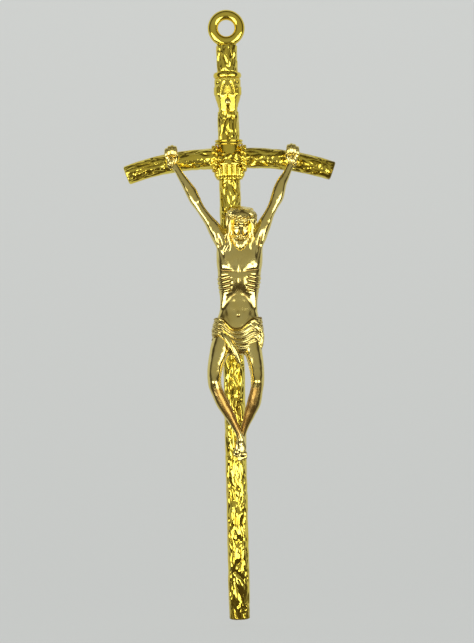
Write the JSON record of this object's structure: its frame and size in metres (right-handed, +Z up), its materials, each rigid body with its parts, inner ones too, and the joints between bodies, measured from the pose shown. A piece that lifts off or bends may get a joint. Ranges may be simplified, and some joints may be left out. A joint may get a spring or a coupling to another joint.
{
  "type": "hanging crucifix",
  "caption": "Hanging metal crucifix with bark-textured rods, drooping arms, a riveted corpus, a title scroll and a ring on top.",
  "frame": {"origin": "centre of the hanging ring's hole", "axes": "+Z up along the shaft, +X to the viewer's right along the arms, -Y towards the viewer, the way the figure faces"},
  "size_m": [0.0558, 0.016, 0.1599],
  "materials": {
    "polished_gold": "gold-plated, polished",
    "bark_gold": "gold-plated, bark texture with darker hollows",
    "pale_gold": "pale gold-plated, polished",
    "rivet_gold": "gold-plated"
  },
  "bodies": {
    "root": {"hanging_ring": "polished_gold", "upper_shaft": "bark_gold", "title_hoop": "polished_gold", "title_sleeve": "polished_gold", "title_rivet": "polished_gold", "upper_collar": "polished_gold", "crossing_socket": "bark_gold", "left_rope_band": "polished_gold", "right_rope_band": "polished_gold", "lower_collar": "polished_gold", "left_arm": "bark_gold", "right_arm": "bark_gold", "lower_shaft": "bark_gold", "corpus": "pale_gold", "left_hand_rivet": "rivet_gold", "right_hand_rivet": "rivet_gold", "foot_rivet": "rivet_gold"}
  },
  "joints": []
}
